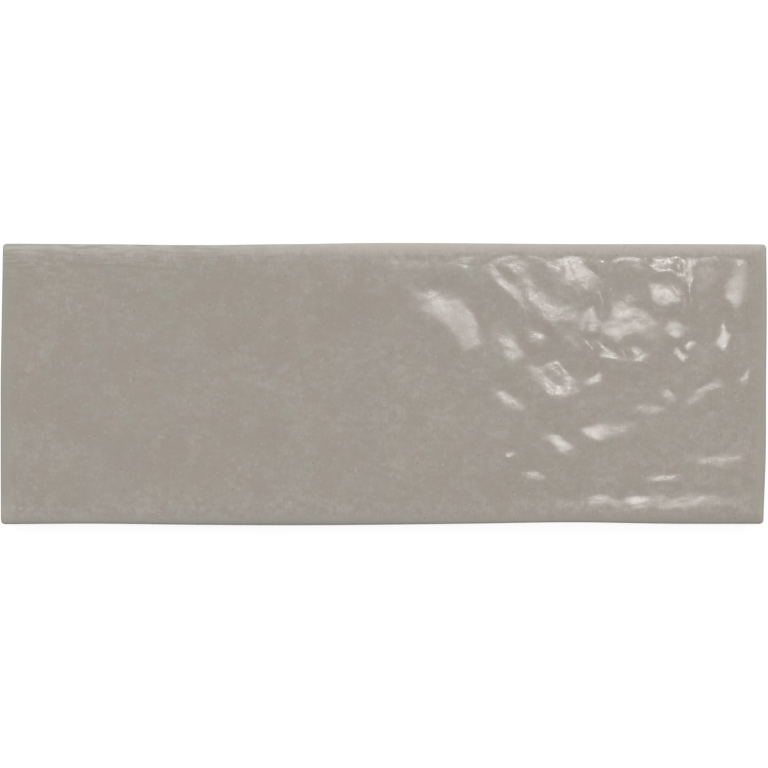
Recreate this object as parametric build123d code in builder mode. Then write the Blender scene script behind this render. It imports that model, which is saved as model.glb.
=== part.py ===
from build123d import *
import os
from math import cos, exp, hypot, pi, radians, sin

# Glazed ceramic wall tile with a hand-pressed face, lying face up as it would on a bench.
# X runs along the tile, Y runs up it as it hangs on a wall, and Z points out of its glazed face.
# The origin is on the back, at the middle of the outline. All sizes are in millimetres and degrees.

# Overall sizes
LENGTH = 200.0
WIDTH = 73.8
THICKNESS = 8.5  # from the back to the middle level of the face

# Outline: how far each side lies inside the overall rectangle, at evenly spaced stations
TOP_SIDE = (0.20, 0.35, 0.56, 0.33, 0.0, 0.13, 0.31, 0.30, 0.40)  # from left to right
BOTTOM_SIDE = (0.30, 0.43, 0.14, 0.0, 0.15, 0.46, 0.80, 0.42, 0.38)  # from left to right
LEFT_SIDE = (0.05, 0.0, 0.0, 0.29, 0.60)  # from bottom to top
RIGHT_SIDE = (0.87, 0.25, 0.16, 0.0, 0.10)  # from bottom to top
CORNER_RADIUS = 1.8
EDGE_RADIUS = 0.5  # where the face rolls over into the sides
ARRIS = 0.5  # bevel around the back

# Pillow: how far the face drops at its edges, and how far in from them the drop reaches
PILLOW_DROP = 1.1
PILLOW_REACH = 1.6

# Swells: long waves over the whole face, as wavelength, heading and phase
SWELL_STEEPNESS = 0.004
SWELLS = (
    (38.0, 20.0, 0.0),
    (27.0, 105.0, 63.0),
    (19.0, 65.0, 132.0),
    (14.0, 150.0, 40.0),
)

# Hand marks: shallow facets pressed into the clay, which all lean away from one point above the top side.
# Each is a distance in from the right end, a distance down from the top, half a length, half a width,
# a turn, and how much less it slopes than its place would give.
LEAN_FROM_RIGHT = 38.0
LEAN_ABOVE_TOP = 36.0
LEAN_RATE = 0.00045  # slope gained for each millimetre from that point
HAND_MARKS = (
    (84.0, 17.4, 5.6, 3.8, -25.0, 0.0033),
    (78.6, 23.0, 5.0, 2.6, -80.0, 0.0082),
    (57.6, 17.0, 7.2, 2.7, -48.0, 0.0041),
    (49.0, 8.8, 6.4, 3.4, -55.0, 0.0049),
    (36.0, 5.0, 3.2, 2.6, 0.0, 0.0041),
    (38.2, 21.2, 6.6, 6.4, -80.0, 0.0057),
    (26.8, 14.0, 3.4, 2.6, 0.0, 0.0041),
    (8.0, 13.2, 4.8, 3.0, 85.0, 0.0049),
    (66.6, 27.6, 4.2, 2.6, 90.0, 0.0074),
    (55.6, 35.6, 5.6, 3.8, -62.0, 0.0025),
    (44.0, 49.3, 3.8, 2.4, 15.0, 0.0000),
    (30.0, 68.6, 26.0, 2.4, 0.0, 0.0090),
)

# Quiet marks: gentler facets spread over the rest of the face by even steppings, each turned a little more
QUIET_COUNT = 24
QUIET_SPAN = 108.0  # from the left end
QUIET_STEP_X = 0.7549
QUIET_STEP_Y = 0.5698
QUIET_TURN = 137.5
QUIET_SLOPE = 0.016
QUIET_HALF_LENGTH = 7.0
QUIET_HALF_WIDTH = 4.5

FACET_FALL = 0.7  # how sharply a mark gives way to the face around it
RIM_CALM = 3.0  # width of the calm strip inside the rim, where the marks die out
FACE_GRID = 2.0  # spacing of the points that the face is fitted through
EDGE_GRID = 0.8  # their spacing near the edges, where the pillow curves most
EDGE_STRIP = 4.5  # width of the strip with that spacing
FACE_FIT = 0.02  # how closely the surface follows those points
FACE_OVERHANG = 0.8  # how far the fitted surface runs past the outline

# Back: a key of shallow pockets between ribs, inside a plain margin
KEY_DEPTH = 0.8
KEY_MARGIN = 6.0
KEY_RIB = 2.0
KEY_COLUMNS = 8
KEY_ROWS = 3
KEY_CORNER = 1.5
KEY_DRAFT = 12.0

SPARE = 4.0  # how far a blank or a cut runs past what it has to reach


def along(start, stop, steps):
    """Evenly spaced values from start to stop."""
    return [start + (stop - start) * step / steps for step in range(steps + 1)]


def side_curve(stations, low, high, rise):
    """Points of one side, evenly spaced from corner to corner, each moved in from the rectangle."""
    places = along(low, high, len(stations) - 1)
    return [(place, rise - inset) for place, inset in zip(places, stations)]


def oval_fade(x, y, mark_x, mark_y, half_length, half_width, turn):
    """1 in the middle of a turned oval, fading to 0 outside it."""
    across, up = x - mark_x, y - mark_y
    lengthwise = (across * cos(radians(turn)) + up * sin(radians(turn))) / half_length
    crosswise = (up * cos(radians(turn)) - across * sin(radians(turn))) / half_width
    return exp(-FACET_FALL * (lengthwise**2 + crosswise**2))


def pillow(x, y):
    """How far the face has dropped at a point, near its edges."""
    drop_x = exp((abs(x) - LENGTH / 2) / PILLOW_REACH)
    drop_y = exp((abs(y) - WIDTH / 2) / PILLOW_REACH)
    return PILLOW_DROP * hypot(drop_x, drop_y)


def swells(x, y):
    """The long waves over the face."""
    height = 0.0
    for wavelength, heading, phase in SWELLS:
        travel = x * cos(radians(heading)) + y * sin(radians(heading))
        height += wavelength * SWELL_STEEPNESS / (2 * pi) * sin(2 * pi * travel / wavelength + radians(phase))
    return height


def quiet_marks(x, y):
    """The quiet marks, each leaning another way."""
    height = 0.0
    for number in range(QUIET_COUNT):
        mark_x = QUIET_SPAN * (number * QUIET_STEP_X % 1) - LENGTH / 2
        mark_y = WIDTH * (number * QUIET_STEP_Y % 1 - 0.5)
        heading = radians(number * QUIET_TURN)
        tilt = QUIET_SLOPE * (cos(heading) * (x - mark_x) + sin(heading) * (y - mark_y))
        turn = number * QUIET_TURN / 2
        height += tilt * oval_fade(x, y, mark_x, mark_y, QUIET_HALF_LENGTH, QUIET_HALF_WIDTH, turn)
    return height


def looseness(x, y):
    """0 at the edges, where the mould keeps the clay smooth, and 1 further in."""
    inside = max(0.0, min(LENGTH / 2 - abs(x), WIDTH / 2 - abs(y)))
    return 1 - exp(-((inside / RIM_CALM) ** 2))


def unpressed_height(x, y):
    """Height of the face before the hand marks are pressed in."""
    return THICKNESS - pillow(x, y) + swells(x, y) + looseness(x, y) * quiet_marks(x, y)


def hand_planes():
    """The oval of each hand mark, with the level and the slopes of the plane that it is pressed to."""
    lean_x, lean_y = LENGTH / 2 - LEAN_FROM_RIGHT, WIDTH / 2 + LEAN_ABOVE_TOP
    for from_right, from_top, half_length, half_width, turn, less in HAND_MARKS:
        x, y = LENGTH / 2 - from_right, WIDTH / 2 - from_top
        away = hypot(x - lean_x, y - lean_y)
        slope = LEAN_RATE - less / away
        oval = x, y, half_length, half_width, turn
        yield oval, unpressed_height(x, y), slope * (x - lean_x), slope * (y - lean_y)


PLANES = list(hand_planes())


def face_height(x, y):
    """Height of the glazed face above the back."""
    height = unpressed_height(x, y)
    for oval, level, slope_x, slope_y in PLANES:
        plane = level + slope_x * (x - oval[0]) + slope_y * (y - oval[1])
        height += looseness(x, y) * oval_fade(x, y, *oval) * (plane - height)
    return height


def face_stations(size):
    """Places across the face where its height is taken: closer together near both edges."""
    reach = size / 2 + FACE_OVERHANG
    inner = size / 2 - EDGE_STRIP
    edge = along(inner, reach, round((reach - inner) / EDGE_GRID))
    middle = along(-inner, inner, round(2 * inner / FACE_GRID))
    return [-place for place in reversed(edge)] + middle[1:-1] + edge


def face_surface():
    """The glazed face as one smooth surface that runs past the outline on all sides."""
    rows = face_stations(WIDTH)
    points = [[(x, y, face_height(x, y)) for y in rows] for x in face_stations(LENGTH)]
    return Face.make_surface_from_array_of_points(points, tol=FACE_FIT, min_deg=3, max_deg=3)


os.makedirs("parts", exist_ok=True)

left_end, right_end = -LENGTH / 2, LENGTH / 2
low_end, high_end = -WIDTH / 2, WIDTH / 2
top = side_curve(TOP_SIDE, left_end + LEFT_SIDE[-1], right_end - RIGHT_SIDE[-1], high_end)
bottom = side_curve(BOTTOM_SIDE, left_end + LEFT_SIDE[0], right_end - RIGHT_SIDE[0], high_end)
left = side_curve(LEFT_SIDE, low_end + BOTTOM_SIDE[0], high_end - TOP_SIDE[0], right_end)
right = side_curve(RIGHT_SIDE, low_end + BOTTOM_SIDE[-1], high_end - TOP_SIDE[-1], right_end)

glazed_face = face_surface()

with BuildPart() as wall_tile:
    # The blank: four wavy sides with rounded corners, taller than the face
    with BuildSketch():
        with BuildLine():
            Spline(*top)
            Spline(*[(x, -y) for x, y in bottom])
            Spline(*[(-x, y) for y, x in left])
            Spline(*[(x, y) for y, x in right])
        make_face()
    extrude(amount=THICKNESS + SPARE)
    fillet(wall_tile.edges().filter_by(Axis.Z), radius=CORNER_RADIUS)

    # The face: everything above the wavy surface is taken off, and its rim is rolled over
    extrude(glazed_face, amount=2 * SPARE, dir=(0, 0, 1), mode=Mode.SUBTRACT)
    fillet(wall_tile.faces().sort_by(Axis.Z)[-1].edges(), radius=EDGE_RADIUS)

    # The back: a bevelled arris and the key that the adhesive grips
    chamfer(wall_tile.faces().sort_by(Axis.Z)[0].edges(), length=ARRIS)
    pocket_length = (LENGTH - 2 * KEY_MARGIN - (KEY_COLUMNS - 1) * KEY_RIB) / KEY_COLUMNS
    pocket_width = (WIDTH - 2 * KEY_MARGIN - (KEY_ROWS - 1) * KEY_RIB) / KEY_ROWS
    with BuildSketch():
        with GridLocations(pocket_length + KEY_RIB, pocket_width + KEY_RIB, KEY_COLUMNS, KEY_ROWS):
            RectangleRounded(pocket_length, pocket_width, KEY_CORNER)
    extrude(amount=KEY_DEPTH, taper=KEY_DRAFT, mode=Mode.SUBTRACT)

wall_tile.part.label = "wall_tile"
export_step(wall_tile.part, "parts/wall_tile.step")
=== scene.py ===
# %% [markdown]
# A hand-pressed wall tile
#
# The real tile is a slab of clay that was pressed into a mould, coated with a warm grey glaze and fired.
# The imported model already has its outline, its wavy face and its keyed back. It is loaded as a fixed frame.
# What the frame leaves out is small: dabs and ripples in the face, the line where the glaze ends on the
# sides, and the colour of glaze and clay. A dense mesh can hold all of that, so the tile is built again in
# its own place.

# %% Load the frame
from math import cos, pi, radians, sin

import bpy
import numpy as np
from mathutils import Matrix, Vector
from mathutils.geometry import delaunay_2d_cdt


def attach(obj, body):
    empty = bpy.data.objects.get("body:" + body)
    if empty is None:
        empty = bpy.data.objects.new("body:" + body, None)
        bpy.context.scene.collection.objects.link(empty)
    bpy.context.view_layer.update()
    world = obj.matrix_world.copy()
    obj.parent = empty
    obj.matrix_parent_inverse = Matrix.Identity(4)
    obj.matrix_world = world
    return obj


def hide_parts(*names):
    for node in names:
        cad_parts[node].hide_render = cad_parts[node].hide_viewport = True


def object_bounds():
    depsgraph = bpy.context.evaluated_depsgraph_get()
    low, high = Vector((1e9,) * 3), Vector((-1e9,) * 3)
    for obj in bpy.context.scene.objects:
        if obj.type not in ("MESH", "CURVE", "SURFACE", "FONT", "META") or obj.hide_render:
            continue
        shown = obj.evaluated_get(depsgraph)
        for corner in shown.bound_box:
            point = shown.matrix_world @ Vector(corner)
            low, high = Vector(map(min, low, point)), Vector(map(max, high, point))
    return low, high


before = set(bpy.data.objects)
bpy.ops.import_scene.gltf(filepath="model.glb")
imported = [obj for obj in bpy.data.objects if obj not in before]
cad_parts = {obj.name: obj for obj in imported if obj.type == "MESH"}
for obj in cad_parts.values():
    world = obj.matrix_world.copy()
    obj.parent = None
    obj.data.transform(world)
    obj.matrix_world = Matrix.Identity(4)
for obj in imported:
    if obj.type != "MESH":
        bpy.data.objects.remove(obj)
cad_low, cad_high = [list(corner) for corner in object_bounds()]
MM = 0.001
LENGTH = 2 * min(-cad_low[0], cad_high[0]) / MM
WIDTH = 2 * min(-cad_low[1], cad_high[1]) / MM
TOP = cad_high[2] / MM
print(f"tile {LENGTH:.2f} x {WIDTH:.2f} x {TOP:.2f} mm")

# %% [markdown]
# The face, as a formula
#
# The face is a landscape seen from above: one height for each point of the tile. Sculpting it by hand would
# work, but a formula can be read, changed and repeated. It is built up in layers, all in millimetres. The
# first two are a pillow, which lets the face drop towards its edges, and swells, the long waves that clay
# keeps from being pressed. Each swell is a wavelength, a heading and a phase.

# %% Pillow and swells
THICKNESS = 8.5
PILLOW_DROP = 1.1
PILLOW_REACH = 1.6
SWELL_STEEPNESS = 0.004
SWELLS = (
    (38.0, 20.0, 0.0),
    (27.0, 105.0, 63.0),
    (19.0, 65.0, 132.0),
    (14.0, 150.0, 40.0),
)


def pillow(x, y):
    """How far the face has dropped at a point, near the edges."""
    drop_x = np.exp((np.abs(x) - LENGTH / 2) / PILLOW_REACH)
    drop_y = np.exp((np.abs(y) - WIDTH / 2) / PILLOW_REACH)
    return PILLOW_DROP * np.hypot(drop_x, drop_y)


def wave(x, y, wavelength, heading, phase, steepness):
    """One sine wave that travels along its heading."""
    travel = x * cos(radians(heading)) + y * sin(radians(heading))
    return steepness * wavelength / (2 * pi) * np.sin(2 * pi * travel / wavelength + radians(phase))


def swells(x, y):
    """The long waves of the pressed clay."""
    return sum(wave(x, y, *swell, SWELL_STEEPNESS) for swell in SWELLS)


print("pillow drops", PILLOW_DROP, "mm at the edges, under", len(SWELLS), "swells")

# %% [markdown]
# Quiet marks
#
# The left of the real face has faint facets that hardly catch the light. Nobody could say where each one
# lies, so they are spread by even steppings, which look random but come out the same each time. Each is a
# tilted plane that fades out past an oval. Close to the rim the mould kept the clay smooth, so they die out.

# %% Faint facets on the left
QUIET_COUNT = 24
QUIET_SPAN = 108.0
QUIET_STEP_X = 0.7549
QUIET_STEP_Y = 0.5698
QUIET_TURN = 137.5
QUIET_SLOPE = 0.016
QUIET_HALF_LENGTH = 7.0
QUIET_HALF_WIDTH = 4.5
QUIET_FALL = 0.7
RIM_CALM = 3.0


def oval(x, y, mark_x, mark_y, half_length, half_width, turn):
    """How far out a point lies in a turned oval, squared: 0 in its middle and 1 on its outline."""
    across, up = x - mark_x, y - mark_y
    lengthwise = (across * cos(radians(turn)) + up * sin(radians(turn))) / half_length
    crosswise = (up * cos(radians(turn)) - across * sin(radians(turn))) / half_width
    return lengthwise**2 + crosswise**2


def quiet_marks(x, y):
    """Gentle facets on the left of the face, each turned a little more than the last."""
    height = np.zeros_like(x)
    for number in range(QUIET_COUNT):
        mark_x = QUIET_SPAN * (number * QUIET_STEP_X % 1) - LENGTH / 2
        mark_y = WIDTH * (number * QUIET_STEP_Y % 1 - 0.5)
        heading = radians(number * QUIET_TURN)
        tilt = QUIET_SLOPE * (cos(heading) * (x - mark_x) + sin(heading) * (y - mark_y))
        turn = number * QUIET_TURN / 2
        out = oval(x, y, mark_x, mark_y, QUIET_HALF_LENGTH, QUIET_HALF_WIDTH, turn)
        height += tilt * np.exp(-QUIET_FALL * out)
    return height


def rim_calm(x, y):
    """1 on the rim, where the mould's edge keeps the clay smooth, and 0 further in."""
    inside = np.maximum(0, np.minimum(LENGTH / 2 - np.abs(x), WIDTH / 2 - np.abs(y)))
    return np.exp(-((inside / RIM_CALM) ** 2))


def unpressed_height(x, y):
    """Height of the face before the hand marks are pressed in."""
    return THICKNESS - pillow(x, y) + swells(x, y) + (1 - rim_calm(x, y)) * quiet_marks(x, y)


print("quiet marks", QUIET_COUNT)

# %% [markdown]
# Hand marks
#
# A glossy facet flashes when it tilts a lamp's light into the eye. On the real tile the flashes crowd on the
# right, so the marks there lean away from one point above the top side, as facets that answer one lamp do.
# Each mark is a distance in from the right end, a distance down from the top, half a length, half a width,
# a turn, and how far its slope is off the full flash: 0 is the brightest, and past about 0.02 it stays dark.
# The larger marks are also in the frame. The small dabs are fine relief and are only here.

# %% Marks and dabs
LEAN_FROM_RIGHT = 38.0
LEAN_ABOVE_TOP = 36.0
LEAN_RATE = 0.00045
HAND_MARKS = (
    (84.0, 17.4, 5.6, 3.8, -25.0, 0.0033),
    (78.6, 23.0, 5.0, 2.6, -80.0, 0.0082),
    (57.6, 17.0, 7.2, 2.7, -48.0, 0.0041),
    (49.0, 8.8, 6.4, 3.4, -55.0, 0.0049),
    (36.0, 5.0, 3.2, 2.6, 0.0, 0.0041),
    (38.2, 21.2, 7.4, 7.2, -80.0, 0.0057),
    (26.8, 14.0, 3.4, 2.6, 0.0, 0.0041),
    (8.0, 13.2, 4.8, 3.0, 85.0, 0.0049),
    (66.6, 27.6, 4.2, 2.6, 90.0, 0.0074),
    (55.6, 35.6, 5.6, 3.8, -62.0, 0.0025),
    (44.0, 49.3, 3.8, 2.4, 15.0, 0.0000),
    (30.0, 68.6, 26.0, 2.4, 0.0, 0.0090),
)
SMALL_DABS = (
    (42.0, 8.6, 4.2, 1.7, -65.0, 0.0328),
    (44.6, 13.0, 3.8, 1.2, -70.0, 0.0025),
    (66.6, 12.4, 5.0, 1.4, -52.0, 0.0033),
    (60.2, 25.0, 3.2, 1.8, -60.0, 0.0066),
    (45.4, 21.4, 4.4, 1.2, 85.0, 0.0000),
    (42.6, 27.6, 3.0, 1.2, -30.0, 0.0000),
    (33.8, 28.2, 2.2, 1.6, -45.0, 0.0000),
    (37.0, 21.6, 1.6, 1.4, 0.0, 0.0110),
    (55.4, 35.4, 2.2, 1.2, -62.0, 0.0240),
    (26.8, 4.2, 2.2, 1.5, 0.0, 0.0008),
    (31.4, 5.4, 0.9, 2.2, 0.0, 0.0287),
    (23.4, 4.4, 0.9, 2.0, 0.0, 0.0287),
    (24.0, 22.0, 5.4, 1.5, -70.0, 0.0049),
    (22.8, 28.4, 2.2, 0.9, -40.0, 0.0000),
    (19.2, 17.4, 3.0, 1.4, -75.0, 0.0041),
    (20.4, 26.2, 1.4, 0.9, 30.0, 0.0016),
    (11.2, 24.6, 5.0, 1.3, -85.0, 0.0025),
    (5.2, 34.8, 1.7, 1.5, -50.0, 0.0057),
    (44.6, 35.3, 2.4, 1.5, 40.0, 0.0025),
    (67.5, 41.0, 3.6, 2.1, -50.0, 0.0057),
    (25.8, 40.0, 1.9, 1.0, -75.0, 0.0025),
    (29.2, 43.4, 1.9, 1.5, 0.0, 0.0100),
    (32.6, 43.0, 1.7, 1.4, 0.0, 0.0125),
    (17.0, 39.0, 4.8, 1.5, 45.0, 0.0115),
    (37.6, 48.6, 2.6, 1.7, 0.0, 0.0140),
    (54.0, 52.3, 3.9, 2.0, -50.0, 0.0041),
    (67.0, 55.0, 1.2, 1.0, 0.0, 0.0041),
    (61.0, 60.8, 2.7, 1.6, -10.0, 0.0041),
    (27.0, 61.2, 3.2, 1.2, 5.0, 0.0012),
    (18.0, 55.4, 1.6, 1.2, 0.0, 0.0041),
    (12.4, 56.8, 5.6, 1.8, -6.0, 0.0110),
    (44.0, 68.0, 2.5, 1.4, 0.0, 0.0080),
    (33.2, 68.2, 3.2, 1.4, 0.0, 0.0080),
    (20.0, 67.4, 5.0, 1.6, 0.0, 0.0115),
    (67.2, 3.4, 2.8, 1.5, 0.0, 0.0066),
    (78.0, 3.6, 2.4, 1.5, 0.0, 0.0090),
    (61.6, 4.4, 1.8, 2.6, 0.0, 0.0287),
    (14.6, 5.0, 3.2, 2.2, 0.0, 0.0246),
    (26.6, 14.6, 3.2, 2.2, -35.0, 0.0040),
    (20.1, 9.8, 5.5, 0.9, -88.0, 0.0010),
    (53.4, 11.4, 4.5, 1.4, -55.0, 0.0230),
    (51.0, 23.0, 3.0, 1.6, -50.0, 0.0260),
    (58.0, 17.0, 3.8, 1.6, -48.0, 0.0010),
    (48.8, 8.4, 4.0, 2.2, -58.0, 0.0050),
)


def mark_slope(mark_x, mark_y, off):
    """Slope of a mark: the tilt that flashes fully at its place, less what it is off."""
    slope_x = LEAN_RATE * (mark_x - LENGTH / 2 + LEAN_FROM_RIGHT)
    slope_y = LEAN_RATE * (mark_y - WIDTH / 2 - LEAN_ABOVE_TOP)
    kept = 1 - off / np.hypot(slope_x, slope_y)
    return kept * slope_x, kept * slope_y


print("hand marks", len(HAND_MARKS), "and dabs", len(SMALL_DABS))

# %% [markdown]
# Ripples and wander
#
# Formula marks have outlines that are too neat for wet clay. Before a mark's oval is drawn, each point is
# pushed aside by a few short waves, so that every oval gets its own ragged outline. Fine ripples then
# unsettle the slope inside a mark, which gives its flash brighter and duller places. A displacement texture
# could do this too, but here the relief has to stay true geometry.

# %% Press the marks into the face
MARK_FALL = 0.2
MARK_SHARPNESS = 1.6
WANDER = 0.8
WANDER_WAVES = ((9.3, 15.0), (6.1, 75.0), (12.7, 130.0))
WANDER_TURN, WANDER_PHASE = 70.0, 57.0
RIPPLE_STEEPNESS = 0.0020
RIPPLES = (
    (5.1, 28.0, 10.0),
    (3.7, 97.0, 200.0),
    (4.4, 152.0, 80.0),
    (2.6, 61.0, 310.0),
    (2.9, 118.0, 45.0),
)


def wander(x, y):
    """The point that a ragged outline looks up in place of x, y."""
    aside, along = 0, 0
    for length, turn in WANDER_WAVES:
        aside += wave(x, y, length, turn, 0, 1) / length
        along += wave(x, y, length, turn + WANDER_TURN, WANDER_PHASE, 1) / length
    spread = 2 * pi * WANDER / len(WANDER_WAVES)
    return x + spread * aside, y + spread * along


def face_height(x, y):
    """Height of the finished glaze above the back, without the rolled rim."""
    height = unpressed_height(x, y)
    ragged_x, ragged_y = wander(x, y)
    loose = 1 - rim_calm(x, y)
    for from_right, from_top, half_length, half_width, turn, off in HAND_MARKS + SMALL_DABS:
        mark_x, mark_y = LENGTH / 2 - from_right, WIDTH / 2 - from_top
        slope_x, slope_y = mark_slope(mark_x, mark_y, off)
        level = unpressed_height(np.array([mark_x]), np.array([mark_y]))
        plane = level + slope_x * (x - mark_x) + slope_y * (y - mark_y)
        out = oval(ragged_x, ragged_y, mark_x, mark_y, half_length, half_width, turn)
        height += loose * np.exp(-MARK_FALL * out**MARK_SHARPNESS) * (plane - height)
    return height + loose * sum(wave(x, y, *ripple, RIPPLE_STEEPNESS) for ripple in RIPPLES)


print("ripples", len(RIPPLES))

# %% [markdown]
# The outline
#
# The tile's sides are not straight: pressed clay creeps as it dries. Each side is given as a few insets from
# the overall rectangle, and a smooth curve is drawn through them. Every point of the face is then moved in
# by the same share as its nearest sides, which bends a square grid to the tile without tearing it. The
# sides at the top and bottom are listed from left to right, and those at the ends from bottom to top.

# %% Bend a grid to the outline
TOP_SIDE = (0.20, 0.35, 0.56, 0.33, 0.0, 0.13, 0.31, 0.30, 0.40)
BOTTOM_SIDE = (0.30, 0.43, 0.14, 0.0, 0.15, 0.46, 0.80, 0.42, 0.38)
LEFT_SIDE = (0.05, 0.0, 0.0, 0.29, 0.60)
RIGHT_SIDE = (0.87, 0.25, 0.16, 0.0, 0.10)
CORNER_RADIUS = 1.1


def smooth_inset(share, stations):
    """A smooth curve through evenly spaced stations, read at a share of the way along."""
    place = np.clip(share, 0, 1) * (len(stations) - 1)
    first = np.minimum(place.astype(int), len(stations) - 2)
    padded = np.pad(stations, 1, mode="edge")
    before, start, stop, after = (padded[first + shift] for shift in range(4))
    t = place - first
    bend = 2 * before - 5 * start + 4 * stop - after
    turn = 3 * (start - stop) + after - before
    return np.maximum(0, start + 0.5 * t * (stop - before + t * (bend + t * turn)))


def round_corners(x, y):
    """Moves the points of each square corner into a round one."""
    side_x, side_y = LENGTH / 2 - CORNER_RADIUS, WIDTH / 2 - CORNER_RADIUS
    corner = (np.abs(x) > side_x) & (np.abs(y) > side_y)
    a = np.where(corner, (np.abs(x) - side_x) / CORNER_RADIUS, 0)
    b = np.where(corner, (np.abs(y) - side_y) / CORNER_RADIUS, 0)
    round_x = np.sign(x) * (side_x + CORNER_RADIUS * a * np.sqrt(1 - b**2 / 2))
    round_y = np.sign(y) * (side_y + CORNER_RADIUS * b * np.sqrt(1 - a**2 / 2))
    return np.where(corner, round_x, x), np.where(corner, round_y, y)


def bend_to_outline(x, y):
    """Moves points of the overall rectangle in to the tile's wavy sides."""
    share_x, share_y = x / LENGTH + 0.5, y / WIDTH + 0.5
    left, right = smooth_inset(share_y, LEFT_SIDE), smooth_inset(share_y, RIGHT_SIDE)
    bottom, top = smooth_inset(share_x, BOTTOM_SIDE), smooth_inset(share_x, TOP_SIDE)
    return x + left * (1 - share_x) - right * share_x, y + bottom * (1 - share_y) - top * share_y


deepest_inset = max(TOP_SIDE + BOTTOM_SIDE + LEFT_SIDE + RIGHT_SIDE)
print("sides come in by up to", deepest_inset, "mm")

# %% [markdown]
# The face as a mesh
#
# The grid is about half a millimetre fine, so that each ripple gets several faces. It is finer in the strip
# where the face drops to its edges, and finest in the rolled rim, where it turns down into the sides. Arrays
# make it, since a loop over so many points would be slow. A subdivided plane would give the same points, but
# not the closer rows at the edges.

# %% Face grid
EDGE_RADIUS = 0.5
RIM_STEPS = 5
CELL = 0.5
STRIP = 3.0
STRIP_STEPS = 8


def grid_line(size):
    """Places across the tile: rolled rim and strip at both ends, and even cells between them."""
    rim = EDGE_RADIUS * (1 - np.cos(np.linspace(0, pi / 2, RIM_STEPS + 1)))
    strip = np.linspace(EDGE_RADIUS, STRIP, STRIP_STEPS + 1)[1:]
    edge = np.concatenate([rim, strip])
    count = round((size - 2 * STRIP) / CELL)
    middle = np.linspace(STRIP, size - STRIP, count + 1)[1:-1]
    return np.concatenate([edge, middle, size - edge[::-1]]) - size / 2


grid_x, grid_y = np.meshgrid(grid_line(LENGTH), grid_line(WIDTH), indexing="ij")
edge_distance = np.minimum(LENGTH / 2 - np.abs(grid_x), WIDTH / 2 - np.abs(grid_y))
inside_rim = np.clip(EDGE_RADIUS - edge_distance, 0, EDGE_RADIUS)
rim_drop = EDGE_RADIUS - np.sqrt(EDGE_RADIUS**2 - inside_rim**2)
face_x, face_y = bend_to_outline(*round_corners(grid_x, grid_y))
face_z = face_height(face_x, face_y) - rim_drop
face_z -= max(0, face_z.max() - TOP)
print("face grid", face_z.shape, f"height {face_z.min():.2f} to {face_z.max():.2f} mm")

# %% [markdown]
# The rim, as a path
#
# The sides hang from the rim of the face, so its points are put in order round the tile. At each one the
# direction inwards is needed too. It lies square to the path, and the path's direction is taken from the
# steps before and after the point, the shorter step counting more, so that it stays true in tight corners.

# %% Walk round the rim
def rim_order(columns, rows):
    """Grid places of the face's rim, in order round the tile."""
    bottom = [(i, 0) for i in range(columns - 1)]
    right = [(columns - 1, j) for j in range(rows - 1)]
    top = [(i, rows - 1) for i in range(columns - 1, 0, -1)]
    left = [(0, j) for j in range(rows - 1, 0, -1)]
    return np.array(bottom + right + top + left)


rim_columns, rim_rows = rim_order(*face_z.shape).T
rim_x, rim_y, rim_z = (field[rim_columns, rim_rows] for field in (face_x, face_y, face_z))
step_x, step_y = np.roll(rim_x, -1) - rim_x, np.roll(rim_y, -1) - rim_y
step = np.hypot(step_x, step_y)
balance = np.roll(step, 1) / step
ahead_x = step_x * balance + np.roll(step_x, 1) / balance
ahead_y = step_y * balance + np.roll(step_y, 1) / balance
ahead = np.hypot(ahead_x, ahead_y)
inward_x, inward_y = -ahead_y / ahead, ahead_x / ahead
run = np.cumsum(step)
around = 2 * pi * run / run[-1]
print("rim points", len(rim_x), f"round {run[-1]:.1f} mm")

# %% [markdown]
# The sides
#
# The glaze runs over the rim and stops on the sides in an uneven line, where the tile was wiped clean. Below
# it the bare clay shows, set back by the thickness of the glaze. The sides are rings of points that follow
# the rim, each lower and further in than the last, so the glaze line is a real step and not just paint.

# %% Rings down the glazed sides
GLAZE_LINE = 2.6
GLAZE_LINE_WAVES = ((3, 0.35, 0.4), (7, 0.3, 2.1), (17, 0.22, 4.0), (41, 0.16, 1.2), (67, 0.1, 5.1))
GLAZED_STEPS = 8
SIDE_WAVER = 0.05
WAVER_WAVES = ((11, 5), (5, -3))  # waves round the tile, and how far each shifts on the way down
WAVER_START = 1 / 3  # share of the glazed side over which the waver sets in

glaze_line = np.full_like(around, GLAZE_LINE)
for count, high, phase in GLAZE_LINE_WAVES:
    glaze_line += high * np.sin(count * around + phase)


def ring(inset, height):
    """One ring of points round the tile, a distance in from its side and at the given heights."""
    heights = np.broadcast_to(height, rim_x.shape)
    return np.stack([rim_x + inset * inward_x, rim_y + inset * inward_y, heights], axis=1)


def glazed_ring(share):
    """A ring of the wavering glazed side, a share of the way from the rim to the glaze line."""
    first, second = (np.sin(count * around + shift * share) for count, shift in WAVER_WAVES)
    waver = SIDE_WAVER * (1 + first * second) * min(1, share / WAVER_START)
    return ring(waver, rim_z + share * (glaze_line - rim_z))


glazed_rings = [glazed_ring(level / GLAZED_STEPS) for level in range(1, GLAZED_STEPS + 1)]
print("glazed rings", len(glazed_rings), f"line {glaze_line.min():.2f} to {glaze_line.max():.2f} mm")

# %% Bead of the glaze, and the clay below it
GLAZE_THICKNESS = 0.16
BEAD = ((0.25, 0.10), (1.0, 0.16))  # share of the glaze's thickness, and drop below its line
CLAY_RELIEF = 0.02  # how far the clay lies behind the bead
CLAY_DROP = 0.3  # where the clay starts below the glaze line
CLAY_SHARES = (1.0, 0.6, 0.3, 0.0)
ARRIS = 0.5
ARRIS_BEND = ((0.15, 0.5), (0.5, 0.15), (1.0, 0.0), (1.2, 0.0))  # shares of the arris, in and up

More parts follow.
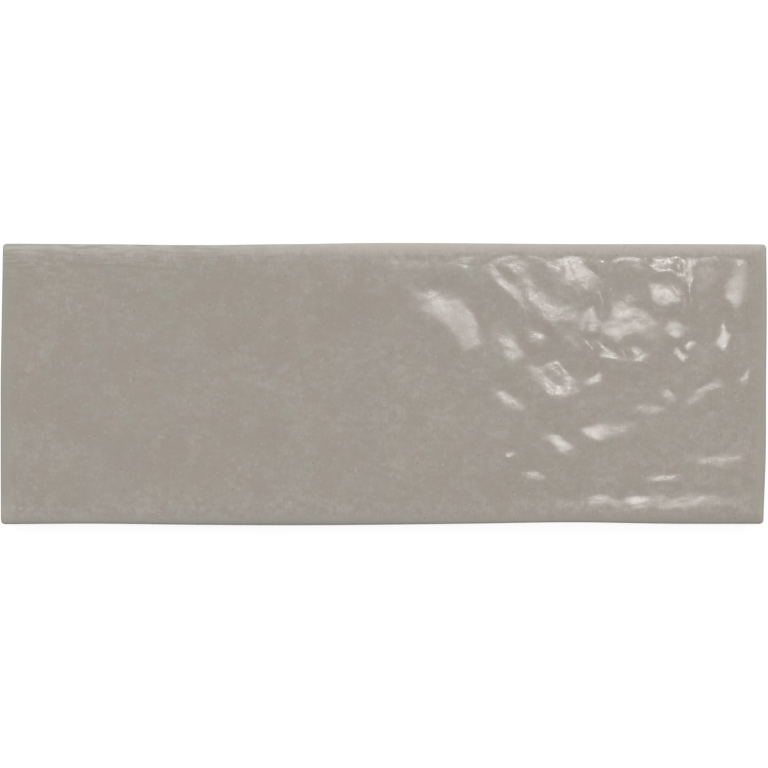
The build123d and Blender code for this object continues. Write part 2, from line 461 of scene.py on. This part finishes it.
glaze_inset = 2 * SIDE_WAVER
clay_inset = glaze_inset + GLAZE_THICKNESS + CLAY_RELIEF
bead_rings = [ring(glaze_inset + share * GLAZE_THICKNESS, glaze_line - drop) for share, drop in BEAD]
clay_rise = glaze_line - CLAY_DROP - ARRIS
clay_rings = [ring(clay_inset, ARRIS + share * clay_rise) for share in CLAY_SHARES]
arris_rings = [ring(clay_inset + inwards * ARRIS, upwards * ARRIS) for inwards, upwards in ARRIS_BEND]
side_rings = glazed_rings + bead_rings + clay_rings + arris_rings
print("side rings", len(side_rings))

# %% [markdown]
# The back
#
# A wall tile has a key on its back: shallow pockets that the adhesive grips. It is flat between them, so the
# tile lies still. The pockets are rounded oblongs, each a few shrinking copies of its mouth, stepped down to
# its floor. Cutting them with a Boolean would work too, but leaves long thin faces in such a dense mesh.

# %% Pockets of the key
KEY_MARGIN = 6.0
KEY_RIB = 2.0
KEY_COLUMNS = 8
KEY_ROWS = 3
KEY_CORNER = 1.5
CORNER_STEPS = 5
QUARTERS = ((1, 1), (-1, 1), (-1, -1), (1, -1))
POCKET_MOUTH = (0.0, 0.0)  # inset and depth
POCKET_WALL = (
    POCKET_MOUTH,
    (0.05, 0.06),
    (0.10, 0.20),
    (0.16, 0.62),
    (0.24, 0.75),
    (0.40, 0.80),
    (0.80, 0.80),  # inside the floor, which keeps its shading flat
)
pocket_length = (LENGTH - 2 * KEY_MARGIN - (KEY_COLUMNS - 1) * KEY_RIB) / KEY_COLUMNS
pocket_width = (WIDTH - 2 * KEY_MARGIN - (KEY_ROWS - 1) * KEY_RIB) / KEY_ROWS


def pocket_ring(centre_x, centre_y, inset, depth):
    """One rounded oblong of a pocket's wall."""
    ring_points = []
    radius = KEY_CORNER - inset
    for corner, (side_x, side_y) in enumerate(QUARTERS):
        for turn in np.linspace(0, pi / 2, CORNER_STEPS) + corner * pi / 2:
            x = centre_x + side_x * (pocket_length / 2 - KEY_CORNER) + radius * cos(turn)
            y = centre_y + side_y * (pocket_width / 2 - KEY_CORNER) + radius * sin(turn)
            ring_points.append((x, y, depth))
    return np.array(ring_points)


pocket_columns = (np.arange(KEY_COLUMNS) - (KEY_COLUMNS - 1) / 2) * (pocket_length + KEY_RIB)
pocket_rows = (np.arange(KEY_ROWS) - (KEY_ROWS - 1) / 2) * (pocket_width + KEY_RIB)
pocket_centres = [(x, y) for x in pocket_columns for y in pocket_rows]
print("pockets", len(pocket_centres), f"each {pocket_length:.1f} x {pocket_width:.1f} mm")

# %% [markdown]
# One closed mesh
#
# The real tile is one piece, so face, sides and back become one mesh without a gap. It is gathered as lists
# of points and faces, from the face down. Each band joins a ring to the next. The flat of the back has an
# outline and 24 holes, which a constrained triangulation fills. Faces above the glaze line get the first
# finish and those below it the second.

# %% Face and sides
GLAZE, CLAY = 0, 1
points = [np.stack([face_x, face_y, face_z], axis=-1).reshape(-1, 3)]
faces = []
face_finishes = []


def add_points(ring_points):
    """Adds points to the mesh and gives back their numbers."""
    start = sum(len(block) for block in points)
    points.append(ring_points)
    return np.arange(start, start + len(ring_points))


def add_faces(new_faces, finish):
    """Adds faces of one finish to the mesh."""
    faces.extend(new_faces)
    face_finishes.extend([finish] * len(new_faces))


def band(upper, lower):
    """Faces between two rings of the same count."""
    return np.stack([upper, lower, np.roll(lower, -1), np.roll(upper, -1)], axis=1).tolist()


number = np.arange(face_z.size).reshape(face_z.shape)
squares = np.stack([number[:-1, :-1], number[1:, :-1], number[1:, 1:], number[:-1, 1:]], axis=-1)
add_faces(squares.reshape(-1, 4).tolist(), GLAZE)
glazed_count = len(glazed_rings) + len(bead_rings)
upper = number[rim_columns, rim_rows]
for level, ring_points in enumerate(side_rings):
    lower = add_points(ring_points)
    add_faces(band(upper, lower), GLAZE if level < glazed_count else CLAY)
    upper = lower
print("faces of face and sides", len(faces))

# %% Back
OUTLINE = 0
WHOLE_MESH = 0
MERGE_DISTANCE = 1e-6
flat_points = [(x, y) for x, y, z in side_rings[-1]]
flat_numbers = upper.tolist()
loops = [list(range(len(flat_points)))]
for centre in pocket_centres:
    levels = [add_points(pocket_ring(*centre, inset, depth)) for inset, depth in POCKET_WALL]
    for higher, deeper in zip(levels, levels[1:]):
        add_faces(band(higher, deeper), CLAY)
    add_faces([levels[-1][::-1].tolist()], CLAY)
    mouth = [(x, y) for x, y, z in pocket_ring(*centre, *POCKET_MOUTH)]
    loops.append(list(range(len(flat_points), len(flat_points) + len(mouth))))
    flat_points += mouth
    flat_numbers += levels[0].tolist()

corners = [Vector(point) for point in flat_points]
flat = delaunay_2d_cdt(corners, [], loops, WHOLE_MESH, MERGE_DISTANCE, True)
flat_faces, corner_sources, face_sources = flat[2], flat[3], flat[5]
for face, sources in zip(flat_faces, face_sources):
    if sources == [OUTLINE]:
        add_faces([[flat_numbers[corner_sources[corner][0]] for corner in reversed(face)]], CLAY)
print("faces with the back", len(faces))

# %% The tile as an object
SHARP_ANGLE = 50.0
tile_mesh = bpy.data.meshes.new("tile_body")
tile_mesh.from_pydata((np.concatenate(points) * MM).tolist(), [], faces)
tile_mesh.polygons.foreach_set("material_index", face_finishes)
tile_mesh.polygons.foreach_set("use_smooth", [True] * len(faces))
tile_mesh.set_sharp_from_angle(angle=radians(SHARP_ANGLE))
tile = bpy.data.objects.new("tile_body", tile_mesh)
bpy.context.collection.objects.link(tile)
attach(tile, "root")
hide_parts("wall_tile")
triangles = sum(len(face) - 2 for face in faces)
print("tile mesh", len(tile_mesh.vertices), "points", triangles, "triangles")

# %% [markdown]
# Node groups for the finishes
#
# Glaze and clay are both uneven in the same ways: clouds of tone, fine specks and a change near the rim.
# Painting an image would fix the detail at one size, so each effect is a small node group that works from
# the tile's own coordinates, and both materials place it with their own values. A group gives only a mask,
# and the material decides what colour or roughness the mask stands for.

# %% Groups and links
VECTOR, FLOAT = "NodeSocketVector", "NodeSocketFloat"


def new_group(name, inputs, outputs):
    """A shader node group with named sockets, and its input and output nodes."""
    group = bpy.data.node_groups.new(name, "ShaderNodeTree")
    for socket, kind, value in inputs:
        group.interface.new_socket(socket, in_out="INPUT", socket_type=kind).default_value = value
    for socket in outputs:
        group.interface.new_socket(socket, in_out="OUTPUT", socket_type=FLOAT)
    print("group", name)
    return group, group.nodes.new("NodeGroupInput").outputs, group.nodes.new("NodeGroupOutput").inputs


def join(tree, source, target):
    """Links a socket, or sets a plain value."""
    if isinstance(source, bpy.types.NodeSocket):
        tree.links.new(source, target)
    else:
        target.default_value = source


# %% Small calculations
def calculate(tree, operation, first, second=0.0):
    """A math node on two values."""
    node = tree.nodes.new("ShaderNodeMath")
    node.operation = operation
    join(tree, first, node.inputs[0])
    join(tree, second, node.inputs[1])
    return node.outputs["Value"]


def vector_math(tree, operation, first, second):
    """A vector math node on two vectors."""
    node = tree.nodes.new("ShaderNodeVectorMath")
    node.operation = operation
    join(tree, first, node.inputs[0])
    join(tree, second, node.inputs[1])
    return node.outputs["Vector"]


def ramp(tree, value, low, high, to_low=0.0, to_high=1.0):
    """A smooth change from one value to another."""
    node = tree.nodes.new("ShaderNodeMapRange")
    node.interpolation_type = "SMOOTHSTEP"
    for socket, source in zip(node.inputs, (value, low, high, to_low, to_high)):
        join(tree, source, socket)
    return node.outputs["Result"]


def millimetres(tree):
    """The tile's own coordinates in millimetres."""
    place = tree.nodes.new("ShaderNodeTexCoord").outputs["Object"]
    return vector_math(tree, "DIVIDE", place, (MM, MM, MM))


def apart(tree, vector):
    """The three parts of a vector."""
    node = tree.nodes.new("ShaderNodeSeparateXYZ")
    join(tree, vector, node.inputs["Vector"])
    return node.outputs


# %% Clouds
clouds, given, result = new_group(
    "soft_clouds",
    [("Size", VECTOR, (5, 5, 5)), ("Seed", FLOAT, 0.0), ("Detail", FLOAT, 2.0),
     ("Low", FLOAT, 0.4), ("High", FLOAT, 0.6)],
    ["Mask"],
)
noise = clouds.nodes.new("ShaderNodeTexNoise")
noise.noise_dimensions = "4D"
noise.inputs["Scale"].default_value = 1.0
join(clouds, vector_math(clouds, "DIVIDE", millimetres(clouds), given["Size"]), noise.inputs["Vector"])
join(clouds, given["Seed"], noise.inputs["W"])
join(clouds, given["Detail"], noise.inputs["Detail"])
join(clouds, ramp(clouds, noise.outputs[0], given["Low"], given["High"]), result["Mask"])

# %% Specks
RAGGED_SIZE = 0.5
RAGGED_PUSH = 0.5
SMALLEST_SPECK, LARGEST_SPECK = 0.5, 1.4
SPECK_CORE = 0.4
specks, given, result = new_group(
    "fine_specks",
    [("Spacing", FLOAT, 3.0), ("Radius", FLOAT, 0.2), ("Share", FLOAT, 0.5), ("Seed", FLOAT, 0.0)],
    ["Mask"],
)
ragged = specks.nodes.new("ShaderNodeTexNoise")
ragged.inputs["Scale"].default_value = 1 / RAGGED_SIZE
join(specks, millimetres(specks), ragged.inputs["Vector"])
push = vector_math(specks, "MULTIPLY", ragged.outputs["Color"], (RAGGED_PUSH, RAGGED_PUSH, RAGGED_PUSH))
pushed = vector_math(specks, "ADD", millimetres(specks), push)
scatter = specks.nodes.new("ShaderNodeTexVoronoi")
join(specks, calculate(specks, "DIVIDE", 1.0, given["Spacing"]), scatter.inputs["Scale"])
join(specks, vector_math(specks, "ADD", pushed, given["Seed"]), scatter.inputs["Vector"])
chance = specks.nodes.new("ShaderNodeSeparateColor")
join(specks, scatter.outputs["Color"], chance.inputs["Color"])
distance = calculate(specks, "MULTIPLY", scatter.outputs["Distance"], given["Spacing"])
speck_size = ramp(specks, chance.outputs["Green"], 0.0, 1.0, SMALLEST_SPECK, LARGEST_SPECK)
reach = calculate(specks, "MULTIPLY", given["Radius"], speck_size)
near = ramp(specks, distance, reach, calculate(specks, "MULTIPLY", reach, SPECK_CORE))
chosen = calculate(specks, "LESS_THAN", chance.outputs["Red"], given["Share"])
join(specks, calculate(specks, "MULTIPLY", near, chosen), result["Mask"])

# %% Nearness to the rim
rim, given, result = new_group("rim_nearness", [("Reach", FLOAT, 3.0)], ["Mask", "Long sides"])
place = apart(rim, millimetres(rim))
from_end = calculate(rim, "SUBTRACT", LENGTH / 2, calculate(rim, "ABSOLUTE", place["X"]))
from_side = calculate(rim, "SUBTRACT", WIDTH / 2, calculate(rim, "ABSOLUTE", place["Y"]))
nearest = calculate(rim, "MINIMUM", from_end, from_side)
join(rim, ramp(rim, nearest, given["Reach"], 0.0), result["Mask"])
join(rim, ramp(rim, from_side, given["Reach"], 0.0), result["Long sides"])

# %% [markdown]
# Layers of colour
#
# A finish is built as a painter would build it: one ground colour, and then thin layers, each laid on
# through a mask. A Mix node does that. It keeps a set of sockets for each kind of value, and those for
# colours are reached by their numbers.

# %% Tools for finishes
BELOW, ABOVE, MIXED = 6, 7, 2


def mask(tree, group, output="Mask", **values):
    """The mask of a node group, placed in a material with its own values."""
    node = tree.nodes.new("ShaderNodeGroup")
    node.node_tree = group
    for name, value in values.items():
        node.inputs[name.capitalize()].default_value = value
    return node.outputs[output]


def layer(tree, below, above, amount, strength):
    """A colour laid over another through a mask, at some strength."""
    node = tree.nodes.new("ShaderNodeMix")
    node.data_type = "RGBA"
    join(tree, calculate(tree, "MULTIPLY", amount, strength), node.inputs["Factor"])
    join(tree, below, node.inputs[BELOW])
    join(tree, above, node.inputs[ABOVE])
    return node.outputs[MIXED]


def bump(tree, height, depth, shader):
    """Fine relief in a finish, as deep as the given size."""
    node = tree.nodes.new("ShaderNodeBump")
    node.inputs["Strength"].default_value = 1.0
    node.inputs["Distance"].default_value = depth * MM
    join(tree, height, node.inputs["Height"])
    join(tree, node.outputs["Normal"], shader["Normal"])


def new_finish(name):
    """A material with its node tree and its shader."""
    material = bpy.data.materials.new(name)
    material.use_nodes = True
    tile_mesh.materials.append(material)
    return material.node_tree, material.node_tree.nodes["Principled BSDF"].inputs


# %% [markdown]
# The glaze
#
# The glaze is a warm grey that is neither even nor patterned. It is browner and paler in broad drifts, with
# upright drifts that have a hint of lavender, and olive blotches a few millimetres wide. Near the rim it is
# thinner and greener, and brush drags show at the top left. All of these are only a few shades apart. The
# right end is laid paler as painted haze from the flash lamp, and a paler band along the long sides is partly
# the glaze's own tone and partly painted light for the lit top side. One photograph would give the same
# tones, but only at its own size and with its light baked in.

# %% Broad tones of the glaze
GREIGE = (0.324, 0.290, 0.253, 1)
BROWN = (0.282, 0.246, 0.210, 1)
# the pale tone of the broad drifts, also laid on the right end as painted haze
PALE_TONE_AND_HAZE = (0.348, 0.314, 0.276, 1)
OLIVE = (0.286, 0.290, 0.242, 1)
LAVENDER = (0.308, 0.278, 0.258, 1)

tree, glaze = new_finish("greige_glaze")
drift = mask(tree, clouds, size=(34, 22, 20), seed=1.3, detail=3.0, low=0.35, high=0.65)
colour = layer(tree, GREIGE, BROWN, drift, strength=0.85)
bloom = mask(tree, clouds, size=(9, 12, 9), seed=4.1, detail=4.0, low=0.42, high=0.68)
colour = layer(tree, colour, PALE_TONE_AND_HAZE, bloom, strength=0.8)
upright = mask(tree, clouds, size=(15, 34, 12), seed=2.9, detail=4.0, low=0.48, high=0.7)
colour = layer(tree, colour, LAVENDER, upright, strength=0.8)
blotch = mask(tree, clouds, size=(7, 7, 5), seed=7.7, detail=5.0, low=0.5, high=0.66)
colour = layer(tree, colour, OLIVE, blotch, strength=0.9)
print("glaze nodes", len(tree.nodes))

# %% Rim, ends and drags of the glaze, with painted light on the right end and the long sides
THIN_EDGE = (0.284, 0.274, 0.233, 1)
# pale greener tone of the crumbs, also laid along the long sides as a band that is partly painted light
PALE_CRUMB_AND_LIT_BAND = (0.352, 0.336, 0.299, 1)
DRAGGED = (0.252, 0.250, 0.204, 1)
PAINTED_HAZE_END = (-20.0, 60.0)  # where the painted haze on the right end begins and where it is full
DRAG_END = (0.0, -70.0)  # where the dragged left end begins and where it is full
DRAG_TOP = (16.0, 5.0)  # the same, below the top side

edge = mask(tree, rim, reach=5.0)
colour = layer(tree, colour, THIN_EDGE, edge, strength=0.8)
# paler band along the top and bottom sides: partly the glaze's own tone, partly painted light for the lit top
# side
long_side_tone_and_light = mask(tree, rim, output="Long sides", reach=10.0)
colour = layer(tree, colour, PALE_CRUMB_AND_LIT_BAND, long_side_tone_and_light, strength=0.9)
place = apart(tree, millimetres(tree))
# painted haze: the right end is laid paler, standing in for the flash lamp's glow reflected in the glaze
colour = layer(tree, colour, PALE_TONE_AND_HAZE, ramp(tree, place["X"], *PAINTED_HAZE_END), strength=0.35)
drag = mask(tree, clouds, size=(6, 0.8, 4), seed=9.2, detail=3.0, low=0.45, high=0.62)
high_up = ramp(tree, place["Y"], *(WIDTH / 2 - below for below in DRAG_TOP))
top_left = calculate(tree, "MULTIPLY", high_up, ramp(tree, place["X"], *DRAG_END))
colour = layer(tree, colour, DRAGGED, calculate(tree, "MULTIPLY", drag, top_left), strength=0.9)
print("glaze nodes", len(tree.nodes))

# %% [markdown]
# Grain, specks and gloss
#
# Seen close, the glaze is dusted with grain, which thins out on the rim, and with specks. The gloss is a low
# roughness on the shader, a little less even where the glaze is paler, and a very fine bump from the same
# grain keeps it from looking like plastic. A coat layer was not needed: a glaze is one glassy skin.

# %% Grain and gloss of the glaze
PALE_SPECK = (0.50, 0.48, 0.45, 1)
DARK_SPECK = (0.190, 0.172, 0.150, 1)
RIM_GRAIN = 0.2  # share of the grain that is left on the rim
GLOSSIEST, DULLEST = 0.09, 0.115
SKIN_DEPTH = 0.004

off_rim = ramp(tree, edge, 0.0, 1.0, 1.0, RIM_GRAIN)
grain = mask(tree, clouds, size=(2.2, 1.5, 1.5), seed=3.3, detail=5.0, low=0.32, high=0.68)
colour = layer(tree, colour, BROWN, calculate(tree, "MULTIPLY", grain, off_rim), strength=0.85)
dust = mask(tree, clouds, size=(0.5, 1.3, 0.5), seed=18.4, detail=2.0, low=0.4, high=0.66)
colour = layer(tree, colour, BROWN, calculate(tree, "MULTIPLY", dust, off_rim), strength=0.6)
crumbs = mask(tree, clouds, size=(0.9, 0.7, 0.8), seed=12.6, detail=3.0, low=0.55, high=0.75)
colour = layer(tree, colour, PALE_CRUMB_AND_LIT_BAND, calculate(tree, "MULTIPLY", crumbs, off_rim), strength=0.65)
pale_specks = mask(tree, specks, spacing=1.9, radius=0.26, share=0.15, seed=11.0)
colour = layer(tree, colour, PALE_SPECK, pale_specks, strength=0.4)
dark_specks = mask(tree, specks, spacing=1.8, radius=0.26, share=0.4, seed=47.0)
colour = layer(tree, colour, DARK_SPECK, dark_specks, strength=0.65)
join(tree, colour, glaze["Base Color"])
join(tree, ramp(tree, bloom, 0.0, 1.0, GLOSSIEST, DULLEST), glaze["Roughness"])
bump(tree, grain, SKIN_DEPTH, glaze)
print("glaze nodes", len(tree.nodes))

# %% [markdown]
# The bare clay
#
# The back and the foot of the sides stay unglazed, because a glazed back would not hold adhesive. Fired clay
# is a pale buff, dry and dull, with darker grit in it. It uses the same three groups with other sizes, and a
# stronger bump, since bare clay is rough to the touch.

# %% Clay
BUFF = (0.60, 0.50, 0.395, 1)
PALE_BUFF = (0.69, 0.61, 0.51, 1)
GRIT = (0.34, 0.24, 0.165, 1)
SMUDGE = (0.47, 0.41, 0.345, 1)
TOOTH_DEPTH = 0.05

tree, clay = new_finish("bare_clay")
patches = mask(tree, clouds, size=(13, 9, 5), seed=5.5, detail=4.0, low=0.38, high=0.64)
colour = layer(tree, BUFF, PALE_BUFF, patches, strength=1.0)
handled = calculate(tree, "MULTIPLY", mask(tree, rim, reach=9.0), patches)
colour = layer(tree, colour, SMUDGE, handled, strength=0.5)
grit = mask(tree, specks, spacing=1.7, radius=0.2, share=0.4, seed=23.0)
colour = layer(tree, colour, GRIT, grit, strength=0.7)
join(tree, colour, clay["Base Color"])
clay["Roughness"].default_value = 0.92
clay["Specular IOR Level"].default_value = 0.25
tooth = mask(tree, clouds, size=(0.5, 0.5, 0.5), seed=8.8, detail=3.0, low=0.3, high=0.7)
bump(tree, tooth, TOOTH_DEPTH, clay)
print("clay nodes", len(tree.nodes))

# %% [markdown]
# The floor
#
# The photograph looks straight down on a tile that lies on white. The floor is a dull grey that keeps the
# tile's shadow, and it glows just enough to come out white for rays that see it directly: those from the
# camera, from a mirror or through glass. A floor that glowed for every ray would light the tile from below.

# %% White floor
FLOOR_SIZE = 6.0
floor_mesh = bpy.data.meshes.new("floor")
floor_corners = [(x * FLOOR_SIZE / 2, y * FLOOR_SIZE / 2, 0) for x, y in QUARTERS]
floor_mesh.from_pydata(floor_corners, [], [(0, 1, 2, 3)])
floor = bpy.data.objects.new("floor", floor_mesh)
bpy.context.collection.objects.link(floor)
print("floor", FLOOR_SIZE, "m wide")

# %% Finish of the floor
FLOOR_GREY = (0.25, 0.25, 0.25, 1)
FLOOR_GLOW = 0.86


def seen_directly(tree):
    """1 for rays from the camera, from a mirror or through glass, and 0 for rays that gather light."""
    path = tree.nodes.new("ShaderNodeLightPath").outputs
    mirrored = calculate(tree, "MAXIMUM", path["Is Camera Ray"], path["Is Glossy Ray"])
    return calculate(tree, "MAXIMUM", mirrored, path["Is Transmission Ray"])


floor_finish = bpy.data.materials.new("white_floor")
floor_finish.use_nodes = True
floor_mesh.materials.append(floor_finish)
tree = floor_finish.node_tree
tree.nodes.clear()
matt = tree.nodes.new("ShaderNodeBsdfDiffuse")
matt.inputs["Color"].default_value = FLOOR_GREY
glow = tree.nodes.new("ShaderNodeEmission")
glow.inputs["Strength"].default_value = FLOOR_GLOW
both = tree.nodes.new("ShaderNodeAddShader")
join(tree, matt.outputs["BSDF"], both.inputs[0])
join(tree, glow.outputs["Emission"], both.inputs[1])
choice = tree.nodes.new("ShaderNodeMixShader")
join(tree, seen_directly(tree), choice.inputs["Fac"])
join(tree, matt.outputs["BSDF"], choice.inputs[1])
join(tree, both.outputs["Shader"], choice.inputs[2])
join(tree, choice.outputs["Shader"], tree.nodes.new("ShaderNodeOutputMaterial").inputs["Surface"])
print("floor nodes", len(tree.nodes))

# %% [markdown]
# The sky
#
# In the photograph the top edge of the tile is lighter than the face and the bottom edge is darker, so more
# light came from the top side. A strong lamp there would mirror itself in the glaze as a bright band. So the
# sky that lights the tile is brighter towards the top side, while rays that see it directly find an even
# white.

# %% Sky
SKY_LEVEL = 0.89
SKY_LEAN = 0.86
WHITE_LEVEL = 1.0
world = bpy.data.worlds.new("white_room")
bpy.context.scene.world = world
world.use_nodes = True
tree = world.node_tree
towards = apart(tree, tree.nodes.new("ShaderNodeTexCoord").outputs["Generated"])
leaning = calculate(tree, "ADD", calculate(tree, "MULTIPLY", towards["Y"], SKY_LEAN), SKY_LEVEL)
strength = tree.nodes.new("ShaderNodeMix")
join(tree, seen_directly(tree), strength.inputs["Factor"])
join(tree, leaning, strength.inputs["A"])
join(tree, WHITE_LEVEL, strength.inputs["B"])
background = tree.nodes["Background"].inputs
join(tree, strength.outputs["Result"], background["Strength"])
join(tree, (1, 1, 1, 1), background["Color"])
print("sky from", round(SKY_LEVEL - SKY_LEAN, 2), "to", round(SKY_LEVEL + SKY_LEAN, 2))

# %% [markdown]
# The lamps
#
# Three wide, soft lamps fill the face. The flashes come from a small lamp high up on the right: where it
# hangs and how far the camera stands decide which facets answer it. A real lamp is brightest in its middle,
# so it is three squares, one below the other, each smaller and brighter than the one above. Lamps hide what
# is behind them, so the smallest has to hang lowest.

# %% Lamps
FACE_LEVEL = THICKNESS * MM
FLASH_PLACE = (0.1395, 0.164)
FLASH_RISE = FACE_LEVEL + 2.5
FLASH_GAP = 0.01
LAMPS = (  # each with its place, its size and the brightness of its surface
    ("key_from_top", (-0.3, 1.3, 1.2), 2.6, 0.52),
    ("fill_from_left", (-1.4, 0.5, 0.9), 1.0, 0.6),
    ("fill_from_right", (1.4, 0.5, 0.9), 1.0, 0.8),
    ("flash_glow", (*FLASH_PLACE, FLASH_RISE + FLASH_GAP), 0.16, 1.6),
    ("flash_lamp", (*FLASH_PLACE, FLASH_RISE), 0.10, 4.7),
    ("flash_core", (*FLASH_PLACE, FLASH_RISE - FLASH_GAP), 0.03, 36.0),
)


def soft_lamp(name, place, size, radiance):
    """A square lamp that shines at the tile with the given brightness of its surface."""
    light = bpy.data.lights.new(name, "AREA")
    light.shape = "SQUARE"
    light.size = size
    light.energy = radiance * pi * size**2
    lamp = bpy.data.objects.new(name, light)
    lamp.location = place
    lamp.rotation_euler = (-Vector(place)).to_track_quat("-Z", "Y").to_euler()
    bpy.context.collection.objects.link(lamp)
    print(name, round(light.energy, 2), "W")


for lamp_values in LAMPS:
    soft_lamp(*lamp_values)

# %% [markdown]
# The camera
#
# The photograph shows hardly any of the sides, so the camera is far above the tile and has a long lens. The
# lens follows from the size of one pixel at the level of the rim, which is where the outline is seen.

# %% Camera
CAMERA_RISE = 2.0
SENSOR_WIDTH = 36.0
IMAGE_SIZE = 768
PIXEL = 0.26106 * MM
IMAGE_CENTRE = (0.08 * MM, 0.013 * MM)
rim_distance = CAMERA_RISE + (PILLOW_DROP + EDGE_RADIUS) * MM
camera_data = bpy.data.cameras.new("camera")
camera_data.sensor_width = SENSOR_WIDTH
camera_data.lens = SENSOR_WIDTH * rim_distance / (IMAGE_SIZE * PIXEL)
camera = bpy.data.objects.new("camera", camera_data)
camera.location = (*IMAGE_CENTRE, CAMERA_RISE + FACE_LEVEL)
bpy.context.collection.objects.link(camera)
bpy.context.scene.camera = camera
bpy.context.scene.view_settings.view_transform = "Standard"
print("lens", round(camera_data.lens), "mm")
